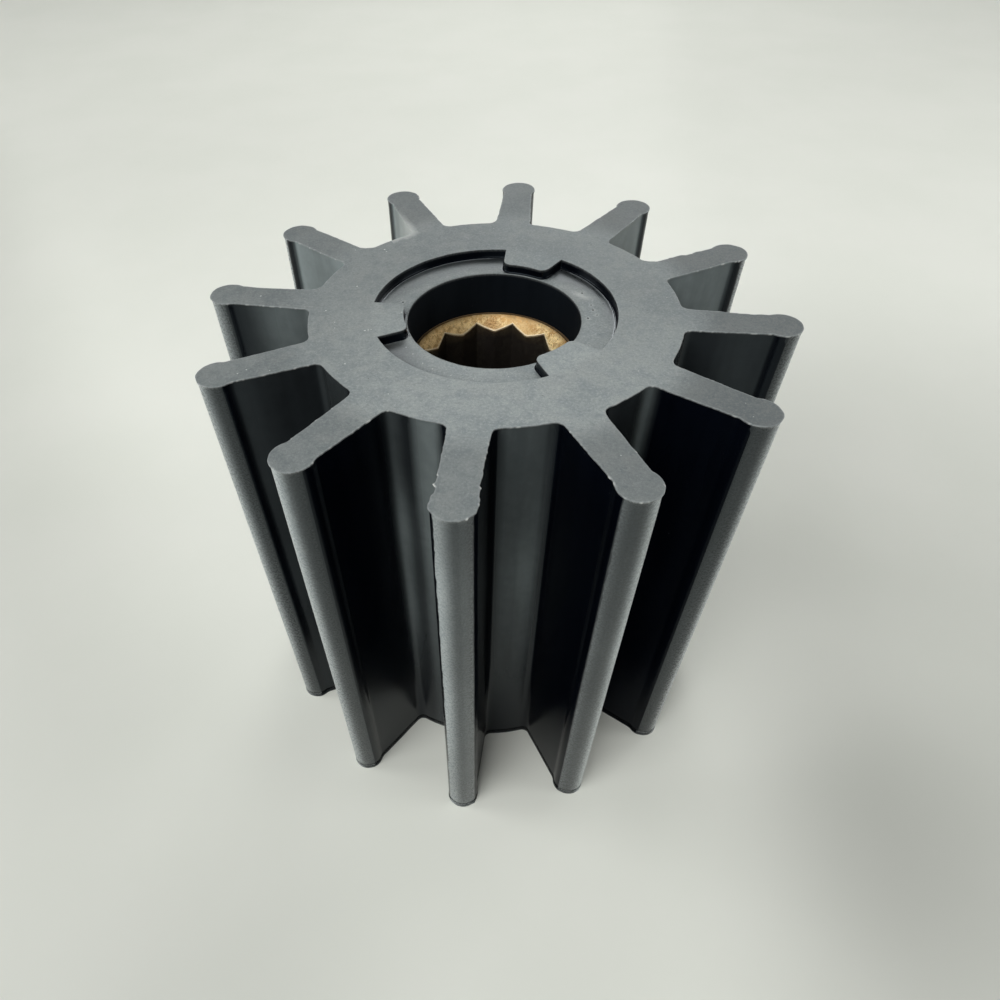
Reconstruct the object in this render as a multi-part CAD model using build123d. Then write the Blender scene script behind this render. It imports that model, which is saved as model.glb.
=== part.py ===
from build123d import *
import os
import math

os.makedirs("parts", exist_ok=True)

# Flexible-blade pump impeller, millimetres.
# Origin: centre of the lower end face. +Z runs along the bore, towards the recessed end face.
# Blade number one points along +Y and the others follow at equal steps.

# ---- driving dimensions: rubber moulding ----
outer_d = 95.0          # over the blade tips
height = 88.0           # end face to end face
blade_count = 12
root_r = 29.7           # hub surface between the blades
root_fillet = 1.5       # blade root to hub
blade_half_root = 3.08  # half thickness of a blade where it leaves the hub
blade_half_neck = 2.67  # half thickness just under the rounded tip
neck_r = 42.2           # radius at which blade_half_neck is reached
tip_bulb_r = 3.075      # radius of the rounded, thicker tip
neck_fillet = 1.4       # hollow between the blade's side and the tip

# ---- driving dimensions: recess in the upper end face ----
recess_r = 19.65
recess_depth = 1.5
recess_corner = 0.25    # small round at the foot of the recess wall
land_count = 3
land_half_angle = 15.0  # each land spans thirty degrees
land_first_angle = 75.0 # centre of one land, anticlockwise from +X
land_inner_r = 14.5
land_corner = 1.4       # rounded inner corners of a land, seen from above

# ---- driving dimensions: bore and brass insert ----
bore_r = 14.0
insert_setback = 8.8    # from each end face down to the insert's end
insert_outer_r = 17.5
leadin_r = 13.5         # where the forty-five degree lead-in starts
spline_teeth = 12
spline_major_r = 12.5   # bottom of each vee
spline_minor_r = 11.4   # crest of each tooth
crest_round = 1.6
spline_phase = 19.8     # one vee, anticlockwise from a blade

outer_r = outer_d / 2
bulb_centre_r = outer_r - tip_bulb_r
insert_length = height - 2 * insert_setback
pitch = 360.0 / blade_count


def polar(r, deg):
    a = math.radians(deg)
    return (r * math.cos(a), r * math.sin(a))


# ---------------------------------------------------------------- rubber moulding
# One blade's outline lies along +X: two tapering sides, closed inside the hub.
slope = (blade_half_root - blade_half_neck) / (neck_r - root_r)


def half_width(x):
    return blade_half_root - slope * (x - root_r)


x_in = 20.0
blade_sides = Polygon(
    (x_in, -half_width(x_in)),
    (bulb_centre_r, -half_width(bulb_centre_r)),
    (bulb_centre_r, half_width(bulb_centre_r)),
    (x_in, half_width(x_in)),
    align=None,
)
blade_plan = blade_sides + Pos(bulb_centre_r, 0) * Circle(tip_bulb_r)

outline = Circle(root_r)
for i in range(blade_count):
    outline += Rot(0, 0, 90 + i * pitch) * blade_plan

# Corners of the outline: roots lie on the hub circle, necks near the tip.
root_corners = [v for v in outline.vertices() if math.hypot(v.X, v.Y) < root_r + 1.0]
outline = fillet(root_corners, radius=root_fillet)
neck_corners = [
    v for v in outline.vertices()
    if neck_r < math.hypot(v.X, v.Y) < bulb_centre_r - 0.4
]
outline = fillet(neck_corners, radius=neck_fillet)

body = extrude(outline, amount=height)

# Bore from end to end, wider around the insert, which is moulded in.
body -= extrude(Circle(bore_r), amount=height)
body -= Pos(0, 0, insert_setback) * extrude(Circle(insert_outer_r), amount=insert_length)

# Ring recess, interrupted by the three lands that stay level with the end face.
ring = Circle(recess_r) - Circle(bore_r - 1.0)
reach = 40.0
for k in range(land_count):
    centre = land_first_angle + k * 360.0 / land_count
    p1 = polar(reach, centre - land_half_angle)
    p2 = polar(reach, centre + land_half_angle)
    wedge = Polygon((0, 0), p1, p2, align=None) - Circle(land_inner_r)
    inner = [v for v in wedge.vertices() if math.hypot(v.X, v.Y) < land_inner_r + 0.5]
    wedge = fillet(inner, radius=land_corner)
    ring -= wedge
recess = Pos(0, 0, height - recess_depth) * extrude(ring, amount=recess_depth + 2.0)
foot = [
    e for e in recess.edges()
    if abs(e.center().Z - (height - recess_depth)) < 1e-6
    and math.hypot((e @ 0.5).X, (e @ 0.5).Y) > bore_r
]
recess = fillet(foot, radius=recess_corner)
body -= recess

body = body.solids()[0]
body.label = "rubber_body"
export_step(body, "parts/rubber_body.step")

# ---------------------------------------------------------------- brass insert
# Spline outline: sharp vees cut outwards, rounded tooth crests pointing at the axis.
half_pitch = 180.0 / spline_teeth
crest_centre_r = spline_minor_r + crest_round


def flank(centre):
    """Straight side from a vee's apex at (major, 0), touching the crest circle."""
    ax, ay = spline_major_r, 0.0
    dx, dy = centre[0] - ax, centre[1] - ay
    dist = math.hypot(dx, dy)
    base = math.atan2(dy, dx)
    turn = math.asin(crest_round / dist)
    run = math.sqrt(dist * dist - crest_round * crest_round)
    a = base + turn
    return (ax + run * math.cos(a), ay + run * math.sin(a))


crest_centre = polar(crest_centre_r, half_pitch)
touch_r = math.hypot(*flank(crest_centre))
touch_deg = math.degrees(math.atan2(flank(crest_centre)[1], flank(crest_centre)[0]))

edges = []
for i in range(spline_teeth):
    a0 = spline_phase + i * 2 * half_pitch
    apex = polar(spline_major_r, a0)
    t1 = polar(touch_r, a0 + touch_deg)
    crest = polar(spline_minor_r, a0 + half_pitch)
    t2 = polar(touch_r, a0 + 2 * half_pitch - touch_deg)
    apex_next = polar(spline_major_r, a0 + 2 * half_pitch)
    edges.append(Line(apex, t1))
    edges.append(ThreePointArc(t1, crest, t2))
    edges.append(Line(t2, apex_next))
spline_outline = make_face(Wire(edges))

insert = Pos(0, 0, insert_setback) * extrude(Circle(insert_outer_r), amount=insert_length)
insert -= extrude(spline_outline, amount=height)

# Forty-five degree lead-in at both ends, cut through the teeth.
lead_deep = leadin_r - 8.0
top_lead = Pos(0, 0, height - insert_setback - lead_deep / 2) * Cone(
    8.0, leadin_r, lead_deep)
bottom_lead = Pos(0, 0, insert_setback + lead_deep / 2) * Cone(
    leadin_r, 8.0, lead_deep)
insert -= top_lead
insert -= bottom_lead

insert = insert.solids()[0]
insert.label = "splined_hub_insert"
export_step(insert, "parts/splined_hub_insert.step")

print("rubber volume", body.volume, "insert volume", insert.volume)
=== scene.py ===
import math

import bpy
import numpy as np
from mathutils import Matrix, Vector
from mathutils.geometry import delaunay_2d_cdt


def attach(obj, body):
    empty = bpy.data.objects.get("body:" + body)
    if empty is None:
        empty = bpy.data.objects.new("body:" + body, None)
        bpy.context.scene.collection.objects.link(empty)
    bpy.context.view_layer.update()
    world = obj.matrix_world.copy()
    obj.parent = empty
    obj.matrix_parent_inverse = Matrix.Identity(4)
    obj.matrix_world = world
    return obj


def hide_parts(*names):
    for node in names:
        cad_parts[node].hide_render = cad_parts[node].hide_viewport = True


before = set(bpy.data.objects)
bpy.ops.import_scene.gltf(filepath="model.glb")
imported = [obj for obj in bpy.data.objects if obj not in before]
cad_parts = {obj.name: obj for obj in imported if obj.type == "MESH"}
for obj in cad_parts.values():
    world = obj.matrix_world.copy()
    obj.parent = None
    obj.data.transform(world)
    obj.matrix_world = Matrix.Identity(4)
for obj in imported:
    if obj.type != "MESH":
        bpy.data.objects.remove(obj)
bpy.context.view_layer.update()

MM = 0.001
scene = bpy.context.scene

# ------------------------------------------------------------------ sizes, in millimetres, as in the CAD part
HEIGHT = 88.0
OUTER_R = 47.5
BLADES = 12
ROOT_R = 29.7
ROOT_FILLET = 1.5
HALF_ROOT = 3.08
HALF_NECK = 2.67
NECK_R = 42.2
BULB_R = 3.075
BULB_C = OUTER_R - BULB_R
NECK_FILLET = 1.4
SLOPE = (HALF_ROOT - HALF_NECK) / (NECK_R - ROOT_R)
RECESS_R = 19.65
RECESS_DEPTH = 1.5
RECESS_FOOT = 0.25
LAND_HALF = math.radians(15.0)
LAND_FIRST = math.radians(75.0)
LAND_INNER = 14.5
LAND_CORNER = 1.4
BORE_R = 14.0
SETBACK = 8.8
INSERT_R = 17.5
LEADIN_R = 13.5
TEETH = 12
MAJOR_R = 12.5
MINOR_R = 11.4
CREST_R = 1.6
SPLINE_PHASE = math.radians(19.8)
SEAT_TOP = HEIGHT - SETBACK
RECESS_Z = HEIGHT - RECESS_DEPTH


# ------------------------------------------------------------------ small helpers
def hash01(i, seed):
    """Repeatable random numbers in 0..1 for whole numbers i."""
    i = np.asarray(i, np.int64).astype(np.uint64)
    x = (i * np.uint64(374761393) + np.uint64(seed) * np.uint64(668265263)) & np.uint64(0xFFFFFFFF)
    x = ((x ^ (x >> np.uint64(13))) * np.uint64(1274126177)) & np.uint64(0xFFFFFFFF)
    x = x ^ (x >> np.uint64(16))
    return (x & np.uint64(0xFFFFFF)).astype(float) / float(0xFFFFFF)


def noise1(s, cell, seed, period=None):
    """Smooth noise in -1..1 along a length s; it repeats over period if one is given."""
    s = np.asarray(s, float)
    if period:
        n = max(3, int(round(period / cell)))
        cell = period / n
    u = s / cell
    k = np.floor(u).astype(np.int64)
    f = u - k
    f = f * f * (3 - 2 * f)
    a, b = (k, k + 1)
    if period:
        a, b = a % n, b % n
    return (hash01(a, seed) * (1 - f) + hash01(b, seed) * f) * 2 - 1


def noise2(s, t, cell_s, cell_t, seed):
    """Smooth noise in -1..1 over two lengths."""
    u, v = np.asarray(s, float) / cell_s, np.asarray(t, float) / cell_t
    i, j = np.floor(u).astype(np.int64), np.floor(v).astype(np.int64)
    fu, fv = u - i, v - j
    fu, fv = fu * fu * (3 - 2 * fu), fv * fv * (3 - 2 * fv)

    def at(a, b):
        return hash01(a * 7919 + b * 104729 + 5000000, seed)

    top = at(i, j) * (1 - fu) + at(i + 1, j) * fu
    low = at(i, j + 1) * (1 - fu) + at(i + 1, j + 1) * fu
    return (top * (1 - fv) + low * fv) * 2 - 1


def smooth(a, b, x):
    t = np.clip((np.asarray(x, float) - a) / (b - a), 0, 1)
    return t * t * (3 - 2 * t)


def arc(c, r, a0, a1, n):
    """n + 1 points on an arc about c, from angle a0 to a1."""
    a = np.linspace(a0, a1, n + 1)
    return np.stack([c[0] + r * np.cos(a), c[1] + r * np.sin(a)], -1)


def line(p, q, n):
    t = np.linspace(0, 1, n + 1)[:, None]
    return np.asarray(p) * (1 - t) + np.asarray(q) * t


def turned(p, a):
    c, s = math.cos(a), math.sin(a)
    return np.stack([p[:, 0] * c - p[:, 1] * s, p[:, 0] * s + p[:, 1] * c], -1)


def outward(p):
    """Unit normals of a closed anticlockwise outline, pointing out."""
    t = np.roll(p, -1, 0) - np.roll(p, 1, 0)
    n = np.stack([t[:, 1], -t[:, 0]], -1)
    return n / np.linalg.norm(n, axis=1)[:, None]


# ------------------------------------------------------------------ outline of the moulding, seen from above
def half_blade():
    """The side of a blade with positive t, from the middle of the space beside it to the tip, for a blade along +X.
    Returns points and, for each, a label: 0 hub, 1 root fillet, 2 side, 3 neck fillet, 4 tip."""
    nl = math.hypot(1.0, SLOPE)
    h0 = HALF_ROOT + SLOPE * ROOT_R

    def from_side(x, t):
        return (t - (h0 - SLOPE * x)) / nl

    # root fillet: its centre is one radius off the side and off the hub
    lo, hi = 0.05, 0.5
    rad = ROOT_R + ROOT_FILLET
    for _ in range(60):
        m = (lo + hi) / 2
        if from_side(rad * math.cos(m), rad * math.sin(m)) < ROOT_FILLET:
            lo = m
        else:
            hi = m
    rc = (rad * math.cos(lo), rad * math.sin(lo))
    hub_angle = lo
    # side's direction: (1, -SLOPE), its normal (SLOPE, 1)
    n_ang = math.atan2(1.0, SLOPE)
    r_end = (rc[0] - ROOT_FILLET * math.cos(n_ang), rc[1] - ROOT_FILLET * math.sin(n_ang))
    # neck fillet: one radius off the side, and touching the tip circle from outside
    lo, hi = BULB_C - BULB_R - NECK_FILLET, BULB_C - 0.2
    for _ in range(60):
        m = (lo + hi) / 2
        t = h0 - SLOPE * m + NECK_FILLET * nl
        if math.hypot(m - BULB_C, t) > BULB_R + NECK_FILLET:
            lo = m
        else:
            hi = m
    nc = (lo, h0 - SLOPE * lo + NECK_FILLET * nl)
    n_start = (nc[0] - NECK_FILLET * math.cos(n_ang), nc[1] - NECK_FILLET * math.sin(n_ang))
    to_bulb = math.atan2(0 - nc[1], BULB_C - nc[0])
    tip_a = math.atan2(nc[1], nc[0] - BULB_C)
    pts, lab = [], []

    def add(p, k):
        p = p[:-1]
        pts.append(p)
        lab.extend([k] * len(p))

    add(arc((0, 0), ROOT_R, math.radians(15.0), hub_angle, 12), 0)
    # the fillet runs from facing the axis round to facing the side
    a0 = math.atan2(-rc[1], -rc[0])
    a1 = math.atan2(-math.sin(n_ang), -math.cos(n_ang))
    if a0 < 0:
        a0 += 2 * math.pi
    if a1 < 0:
        a1 += 2 * math.pi
    add(arc(rc, ROOT_FILLET, a0, a1, 8), 1)
    add(line(r_end, n_start, 40), 2)
    b0 = n_ang - math.pi
    b1 = to_bulb
    add(arc(nc, NECK_FILLET, b0, b1, 5), 3)
    add(arc((BULB_C, 0), BULB_R, tip_a, 0.0, 21), 4)
    return np.concatenate(pts), np.array(lab)


def moulding_outline():
    """Closed anticlockwise outline. Blade 0 points along +Y and the rest follow anticlockwise."""
    side, lab = half_blade()                    # from the space (t > 0) to the tip
    tip = np.array([[OUTER_R, 0.0]])
    mirror = side[::-1] * np.array([1.0, -1.0])  # from the tip to the space with t < 0
    # anticlockwise about the axis: from t < 0 to t > 0
    blade = np.concatenate([side * np.array([1.0, -1.0]), tip, side[::-1]])
    labels = np.concatenate([lab, [4], lab[::-1]])
    sides = np.concatenate([np.full(len(side), -1), [0], np.full(len(side), 1)])
    # the two ends of one blade's run meet its neighbours' ends: drop one of them
    blade, labels, sides = blade[1:], labels[1:], sides[1:]
    pts, lab_all, blade_no, side_all, local = [], [], [], [], []
    for k in range(BLADES):
        a = math.pi / 2 + k * math.pi / 6
        pts.append(turned(blade, a))
        lab_all.append(labels)
        blade_no.append(np.full(len(blade), k))
        side_all.append(sides)
        local.append(blade)
    return (np.concatenate(pts), np.concatenate(lab_all), np.concatenate(blade_no), np.concatenate(side_all),
            np.concatenate(local))


OUT, LAB, BNO, BSIDE, LOC = moulding_outline()
if len(OUT) % 2:
    raise SystemExit("the outline needs an even number of points")
OUT_N = outward(OUT)
STEP = np.linalg.norm(np.roll(OUT, -1, 0) - OUT, axis=1)
ARC_S = np.concatenate([[0], np.cumsum(STEP)[:-1]])
TOTAL = float(STEP.sum())
# angle round the tip from its outermost point, for points on the tip and its neck
TIP_ANGLE = np.degrees(np.abs(np.arctan2(LOC[:, 1], LOC[:, 0] - BULB_C)))
ON_TIP = LAB >= 3


# ------------------------------------------------------------------ outline of the ring recess
def recess_outline():
    """Closed anticlockwise inner edge of the end face: the recess wall, going in and out round three lands."""
    pts, kind = [], []
    # a land's side runs along a radius; its inner corner is rounded
    rho = LAND_CORNER
    # circle inside the land, touching the side (a line through the axis) and the inner arc from outside
    rc = LAND_INNER + rho
    off = math.asin(rho / rc)                    # angle of the corner's centre from the side
    side_r = math.sqrt(rc * rc - rho * rho)      # where the corner leaves the side
    for k in range(3):
        c = LAND_FIRST + k * 2 * math.pi / 3
        a_in, a_out = c - LAND_HALF, c + LAND_HALF
        # coming along the wall (anticlockwise) we reach the side at a_in, go in, cross, and go out at a_out
        p_out = (RECESS_R * math.cos(a_in), RECESS_R * math.sin(a_in))
        p_in = (side_r * math.cos(a_in), side_r * math.sin(a_in))
        seg = line(p_out, p_in, 12)[:-1]
        pts.append(seg); kind.extend([1] * len(seg))
        cc = (rc * math.cos(a_in + off), rc * math.sin(a_in + off))
        s0 = a_in - math.pi / 2
        s1 = a_in + off - math.pi
        seg = arc(cc, rho, s0, s1, 7)[:-1]
        pts.append(seg); kind.extend([2] * len(seg))
        seg = arc((0, 0), LAND_INNER, a_in + off, a_out - off, 14)[:-1]
        pts.append(seg); kind.extend([2] * len(seg))
        cc = (rc * math.cos(a_out - off), rc * math.sin(a_out - off))
        s0 = a_out - off + math.pi
        s1 = a_out + math.pi / 2
        seg = arc(cc, rho, s0, s1, 7)[:-1]
        pts.append(seg); kind.extend([2] * len(seg))
        p_in = (side_r * math.cos(a_out), side_r * math.sin(a_out))
        p_out = (RECESS_R * math.cos(a_out), RECESS_R * math.sin(a_out))
        seg = line(p_in, p_out, 12)[:-1]
        pts.append(seg); kind.extend([1] * len(seg))
        seg = arc((0, 0), RECESS_R, a_out, a_in + 2 * math.pi / 3, 84)[:-1]
        pts.append(seg); kind.extend([0] * len(seg))
    return np.concatenate(pts), np.array(kind)


REC, REC_KIND = recess_outline()
REC_N = outward(REC)     # points away from the axis, into the rubber


# ------------------------------------------------------------------ mesh builder
class Shell:
    """Collects points, faces and a few numbers for each point, and makes one mesh of them."""

    def __init__(self):
        self.co, self.faces, self.vals = [], [], []
        self.n = 0

    def ring(self, xy, z, **vals):
        xy = np.asarray(xy, float)
        z = np.broadcast_to(np.asarray(z, float), (len(xy),))
        self.co.append(np.column_stack([xy, z]))
        self.vals.append({k: np.broadcast_to(np.asarray(v, float), (len(xy),)) for k, v in vals.items()})
        ids = np.arange(self.n, self.n + len(xy))
        self.n += len(xy)
        return ids

    def join(self, a, b, flip=False):
        """Quads between two closed rings of equal length. Normals point out of an anticlockwise ring when b is above a."""
        a2, b2 = np.roll(a, -1), np.roll(b, -1)
        q = np.stack([a, a2, b2, b], -1)
        if flip:
            q = q[:, ::-1]
        self.faces.extend(q.tolist())

    def join_half(self, fine, coarse, flip=False):
        """Triangles between a ring and one with every second of its points."""
        n = len(coarse)
        for i in range(n):
            f0, f1, f2 = fine[2 * i], fine[2 * i + 1], fine[(2 * i + 2) % len(fine)]
            c0, c1 = coarse[i], coarse[(i + 1) % n]
            tri = [(f0, f1, c0), (f1, c1, c0), (f1, f2, c1)]
            if flip:
                tri = [t[::-1] for t in tri]
            self.faces.extend(tri)

    def fill(self, outer, inner, extra_xy, z, up=True, **vals):
        """Flat face between two rings, with more points inside."""
        co = np.concatenate(self.co)
        ids = list(outer) + list(inner)
        pts = [tuple(co[i][:2]) for i in ids]
        new = self.ring(extra_xy, z, **vals) if len(extra_xy) else []
        pts += [tuple(p) for p in np.asarray(extra_xy)]
        ids += list(new)
        no, ni = len(outer), len(inner)
        edges = [(i, (i + 1) % no) for i in range(no)] + [(no + i, no + (i + 1) % ni) for i in range(ni)]
        verts, _, tris, orig, _, _ = delaunay_2d_cdt([Vector(p) for p in pts], edges, [], 0, 1e-7, True)
        back = [ids[o[0]] if o else None for o in orig]
        poly_o = np.array([pts[i] for i in range(no)])
        poly_i = np.array([pts[no + i] for i in range(ni)])
        v = np.array([tuple(p) for p in verts])
        cen = np.array([v[list(t)].mean(0) for t in tris])
        keep = inside(cen, poly_o) & ~inside(cen, poly_i)
        for t, k in zip(tris, keep):
            if not k:
                continue
            f = [back[i] for i in t]
            if None in f:
                raise SystemExit("a face edge crosses another")
            a, b, c = v[list(t)]
            ccw = (b[0] - a[0]) * (c[1] - a[1]) - (b[1] - a[1]) * (c[0] - a[0]) > 0
            self.faces.append(f if ccw == up else f[::-1])

    def make(self, name):
        co = np.concatenate(self.co)
        me = bpy.data.meshes.new(name)
        me.from_pydata((co * MM).tolist(), [], self.faces)
        me.validate(clean_customdata=False)
        me.update()
        keys = sorted({k for v in self.vals for k in v})
        for k in keys:
            data = np.concatenate([v.get(k, np.zeros(len(c))) for v, c in zip(self.vals, self.co)])
            at = me.attributes.new(k, "FLOAT", "POINT")
            at.data.foreach_set("value", data.astype(np.float32))
        # the dusty bloom on the end faces is thinner out along the blades; it also holds painted light: lighter at the
        # front, darker at the back, and on the blades lighter on the side toward the key lamp, with a shift for each
        # blade
        r, a = np.hypot(co[:, 0], co[:, 1]), np.arctan2(co[:, 1], co[:, 0])
        out = smooth(30.0, 36.0, r)
        blade_shift = np.array([0.12, 0.0, 0.0, 0.0, -0.01, -0.03, 0.04, -0.06, -0.12, -0.04, 0.0, 0.02])
        blade = np.round((a - math.pi / 2) / (math.pi / 6)).astype(int) % BLADES
        front = a + math.pi / 2
        hub_dust_and_light = (1.11 + 0.18 * np.cos(front) + 0.06 * np.cos(2 * front) + 0.035 * np.cos(a)) * (1 + 0.10 * smooth(20.2, 19.2, r))
        dust_bloom_and_light = hub_dust_and_light * (1 - out) + (0.77 + 0.17 * np.cos(a - math.radians(240)) + blade_shift[blade]) * out
        at = me.attributes.new("dust_bloom_and_light", "FLOAT", "POINT")
        at.data.foreach_set("value", dust_bloom_and_light.astype(np.float32))
        # normals weighted by face area, so flat faces stay flat and narrow edges round over
        nf = len(me.polygons)
        area = np.zeros(nf, np.float32); me.polygons.foreach_get("area", area)
        nrm = np.zeros(nf * 3, np.float32); me.polygons.foreach_get("normal", nrm)
        start = np.zeros(nf, np.int32); me.polygons.foreach_get("loop_start", start)
        tot = np.zeros(nf, np.int32); me.polygons.foreach_get("loop_total", tot)
        lv = np.zeros(len(me.loops), np.int32); me.loops.foreach_get("vertex_index", lv)
        poly = np.repeat(np.arange(nf), tot)
        acc = np.zeros((len(me.vertices), 3))
        np.add.at(acc, lv, (nrm.reshape(-1, 3) * area[:, None])[poly])
        length = np.linalg.norm(acc, axis=1)
        acc /= np.where(length > 0, length, 1)[:, None]
        me.polygons.foreach_set("use_smooth", np.ones(nf, bool))
        me.normals_split_custom_set_from_vertices(acc.tolist())
        ob = bpy.data.objects.new(name, me)
        scene.collection.objects.link(ob)
        return ob


def inside(p, poly):
    """Which points lie inside a closed outline."""
    x, y = p[:, 0], p[:, 1]
    out = np.zeros(len(p), bool)
    x0, y0 = poly[:, 0], poly[:, 1]
    x1, y1 = np.roll(x0, -1), np.roll(y0, -1)
    for a, b, c, d in zip(x0, y0, x1, y1):
        if b == d:
            continue
        hit = (b > y) != (d > y)
        out ^= hit & (x < (c - a) * (y - b) / (d - b) + a)
    return out


def scatter(outer, inner, step, clear, seed):
    """Points between two outlines, on a loose grid, clear of both."""
    lo, hi = outer.min(0), outer.max(0)
    gx = np.arange(lo[0], hi[0], step)
    gy = np.arange(lo[1], hi[1], step * 0.866)
    p = np.array([(x + (j % 2) * step / 2, y) for j, y in enumerate(gy) for x in gx])
    i = np.arange(len(p))
    p = p + 0.22 * step * (np.stack([hash01(i, seed), hash01(i, seed + 1)], -1) - 0.5)
    p = p[inside(p, outer) & ~inside(p, inner)]
    bound = np.concatenate([outer, inner])
    keep = np.ones(len(p), bool)
    for k in range(0, len(p), 400):
        d = np.linalg.norm(p[k:k + 400, None] - bound[None], axis=2).min(1)
        keep[k:k + 400] = d > clear
    return p[keep]


def within(xy):
    """Keeps points inside the outer diameter."""
    r = np.linalg.norm(xy, axis=1)
    lim = OUTER_R - 0.012
    f = np.where(r > lim, lim / r, 1.0)
    return xy * f[:, None]


# ------------------------------------------------------------------ rubber moulding
RAD = LOC[:, 0]          # distance out along each blade
SIDE_ROOT = smooth(29.7, 31.6, RAD)


def on(blades, side=None, lab=None):
    m = np.isin(BNO, blades)
    if side is not None:
        m &= BSIDE == side
    if lab is not None:
        m &= np.isin(LAB, lab)
    return m


# How far each blade leans to its anticlockwise side at the upper end, at its root and at its tip
LEAN_ROOT = [-0.23, 0.04, 0.21, 0.15, 0.06, 0.03, 0.0, 0.0, -0.03, -0.06, -0.21, -0.05]
LEAN_TIP = [0.0, -0.03, 0.08, 0.07, -0.10, -0.06, -0.04, 0.07, 0.06, -0.10, -0.08, -0.10]
u = smooth(31.0, 45.0, RAD)
LEAN = (np.array(LEAN_ROOT)[BNO] * (1 - u) + np.array(LEAN_TIP)[BNO] * u) * SIDE_ROOT
BLADE_A = math.pi / 2 + BNO * math.pi / 6
TANGENT = np.stack([-np.sin(BLADE_A), np.cos(BLADE_A)], -1)

# Trimmed flash along the upper rim: how far it stands out, in millimetres, point by point
rough_side = np.full(len(OUT), 0.80)
rough_side[on([6])] = 2.0                          # the blade nearest the camera is the raggedest
rough_side[on([10], 1)] = 1.5
rough_side[on([7], -1)] = 1.0
rough_side[on([4])] = 0.9
rough_side[on([0, 1])] = 0.9
rough_side[LAB == 0] *= 0.6
ease = np.ones(9) / 9
rough_side = np.convolve(np.concatenate([rough_side[-4:], rough_side, rough_side[:4]]), ease, "valid")
wave = (0.55 * noise1(ARC_S, 5.5, 11, TOTAL) + 0.35 * noise1(ARC_S, 2.1, 12, TOTAL)
        + 0.42 * noise1(ARC_S, 0.85, 13, TOTAL) + 0.34 * noise1(ARC_S, 0.45, 15, TOTAL))
nick = np.clip(noise1(ARC_S, 1.3, 14, TOTAL) - 0.55, 0, 1) * 1.6
LIP = 0.07 + rough_side * (0.085 * wave + 0.10 * nick)
LIP = np.clip(LIP, -0.03, 0.6)


def along(blade, side, rows):
    """Adds to the upper rim's offset on one side of one blade, from a short table of (radius, offset)."""
    m = on([blade], side)
    r, v = zip(*rows)
    LIP[m] += np.interp(RAD[m], r, v, 0.0, 0.0)


# places where the trimming cut into the blade, or left a crumb standing
along(10, 1, ((30.6, 0.0), (31.5, -0.44), (34.0, -0.28), (36.4, -0.08), (37.4, -0.50), (38.4, -0.48), (39.1, -0.18), (42.0, -0.14), (43.0, 0.0)))
along(9, 1, ((35.4, 0.0), (36.2, -0.15), (40.6, -0.15), (41.6, 0.0)))
along(3, -1, ((30.4, 0.0), (31.5, -0.22), (36.0, -0.28), (40.5, -0.18), (42.0, 0.0)))
along(2, -1, ((30.2, 0.0), (31.5, -0.45), (33.6, -0.32), (36.0, -0.18), (40.0, 0.0)))
along(6, -1, ((40.9, 0.0), (41.3, 0.26), (41.7, 0.0), (44.6, 0.0), (45.1, 0.16), (45.8, 0.22), (46.3, 0.0)))
along(6, 1, ((41.8, 0.0), (42.6, 0.20), (43.4, 0.16), (44.0, 0.0)))
# crumbs of rubber left on the lip, mostly on the blade nearest the camera
CRUMB = np.clip((noise1(ARC_S, 0.42, 16, TOTAL) - 0.62) * 5, 0, 1)
CRUMB = CRUMB * np.where(on([6]), 1.0, np.where(on([5, 7, 10]), 0.55, 0.30)) * np.where(LAB == 0, 0.4, 1.0)
LIP = LIP + 0.11 * CRUMB
wave_low = 0.5 * noise1(ARC_S, 4.0, 21, TOTAL) + 0.4 * noise1(ARC_S, 1.2, 22, TOTAL)
LIP_LOW = np.clip(0.035 + 0.03 * wave_low, 0.0, 0.3)
LIP_LOW = np.where(ON_TIP, LIP_LOW + 0.05 + 0.02 * noise1(ARC_S, 2.0, 23, TOTAL), LIP_LOW)
BURR = 0.30 * np.exp(-((RAD - 42.9) / 0.55) ** 2) * on([6], 1)

# The outer faces of the tips are ground a little below the flash; how far round the tip that reaches, in degrees
BAND_EDGE = np.full(len(OUT), 82.0)
for k, side, deg in ((6, -1, 52.0), (6, 1, 58.0), (7, -1, 68.0), (5, 1, 66.0), (4, 1, 90.0), (3, 1, 98.0)):
    BAND_EDGE[on([k], side)] = deg
GROUND = np.where(LAB == 4, 0.10 * smooth(9.0, -16.0, TIP_ANGLE - BAND_EDGE), 0.0)
BAND = np.where(ON_TIP, np.clip(0.5 + (BAND_EDGE - TIP_ANGLE) / 60.0, 0, 1), 0.0)
# how pale the ground face is on each blade
BAND_TONE_AND_LIGHT = np.array([0.55, 0.55, 0.55, 0.68, 0.68, 0.78, 1.20, 0.92, 0.55, 0.55, 0.55, 0.55])[BNO]
# painted light and sheen: they are paler on the sides of the impeller, which face the side lamps and bright
# surroundings, than at its front
FACING = (np.degrees(np.arctan2(OUT_N[:, 1], OUT_N[:, 0])) - 283.0 + 180.0) % 360.0 - 180.0
SIDE_LIGHT = np.interp(FACING, (-180, -110, -75, -51, -33, -19, -8, 0, 8, 14, 23, 32, 41, 60, 110, 180),
                  (4.5, 6.5, 8.0, 7.2, 5.2, 2.7, 1.4, 0.95, 1.4, 2.3, 4.0, 6.0, 8.0, 8.0, 6.0, 4.5))
SIDE_LIGHT = np.where(on([4, 5]) & (FACING > -4), 0.80 - 0.45 * smooth(0.0, 30.0, FACING), SIDE_LIGHT)
SIDE_LIGHT = np.where(on([6]) & (FACING > 0), np.minimum(SIDE_LIGHT, 1.60 - 0.20 * smooth(20.0, 40.0, FACING)), SIDE_LIGHT)
SIDE_LIGHT = np.where(on([6]) & (FACING < 0), 0.95 + 0.80 * (SIDE_LIGHT - 0.95), SIDE_LIGHT)
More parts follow.
